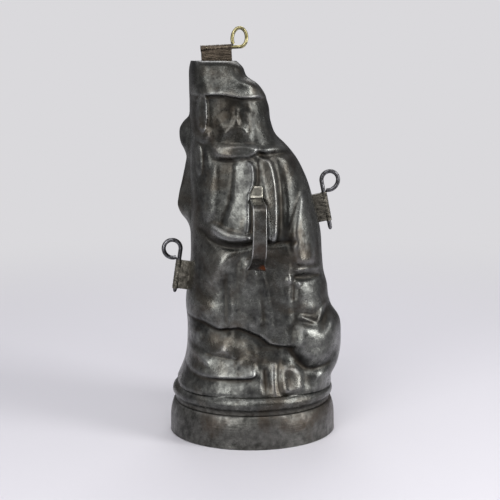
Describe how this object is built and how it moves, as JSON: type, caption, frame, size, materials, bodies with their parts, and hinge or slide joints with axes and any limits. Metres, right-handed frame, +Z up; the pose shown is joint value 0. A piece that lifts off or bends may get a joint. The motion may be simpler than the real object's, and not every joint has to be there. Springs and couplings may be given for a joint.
{
  "type": "figural pewter ice mould",
  "caption": "Tall hollow two-part mould shaped as a bearded figure in a long coat, closed by ring pins, with strap handles and a cap under its foot.",
  "frame": {"origin": "centre of the cap's flat underside, on the surface the mould stands on", "axes": "+Z up, -Y out of the front half that faces the viewer, +X to the viewer's right; the seam between the halves is the plane y = 0"},
  "size_m": [0.1549, 0.1498, 0.3476],
  "materials": {
    "pewter_cast": "dark tarnished cast pewter, softly polished on the high spots",
    "pewter_cap": "dull brown-grey tarnished pewter",
    "iron_wire": "dark drawn iron wire",
    "brass_wire": "bright drawn brass wire"
  },
  "bodies": {
    "cap": {"base_cap": "pewter_cap"},
    "mould": {"front_shell": "pewter_cast", "back_shell": "pewter_cast", "front_handle": "pewter_cast", "back_handle": "pewter_cast", "left_hinge_front_leaf": "pewter_cast", "left_hinge_back_leaf": "pewter_cast", "right_hinge_front_leaf": "pewter_cast", "right_hinge_back_leaf": "pewter_cast", "top_hinge_front_leaf": "pewter_cast", "top_hinge_back_leaf": "pewter_cast"},
    "left_pin": {"left_ring_pin": "iron_wire"},
    "right_pin": {"right_ring_pin": "iron_wire"},
    "top_pin": {"top_ring_pin": "brass_wire"}
  },
  "joints": [
    {"name": "body_lift", "type": "slide", "parent": "cap", "child": "mould", "axis": [0, 0, 1], "range_m": [0, 0.035]},
    {"name": "left_pin_pull", "type": "slide", "parent": "mould", "child": "left_pin", "axis": [0.1478, 0, 0.989], "range_m": [0, 0.031]},
    {"name": "right_pin_pull", "type": "slide", "parent": "mould", "child": "right_pin", "axis": [-0.1942, 0, 0.981], "range_m": [0, 0.036]},
    {"name": "top_pin_pull", "type": "slide", "parent": "mould", "child": "top_pin", "axis": [0.9988, 0, 0.0489], "range_m": [0, 0.029]}
  ]
}
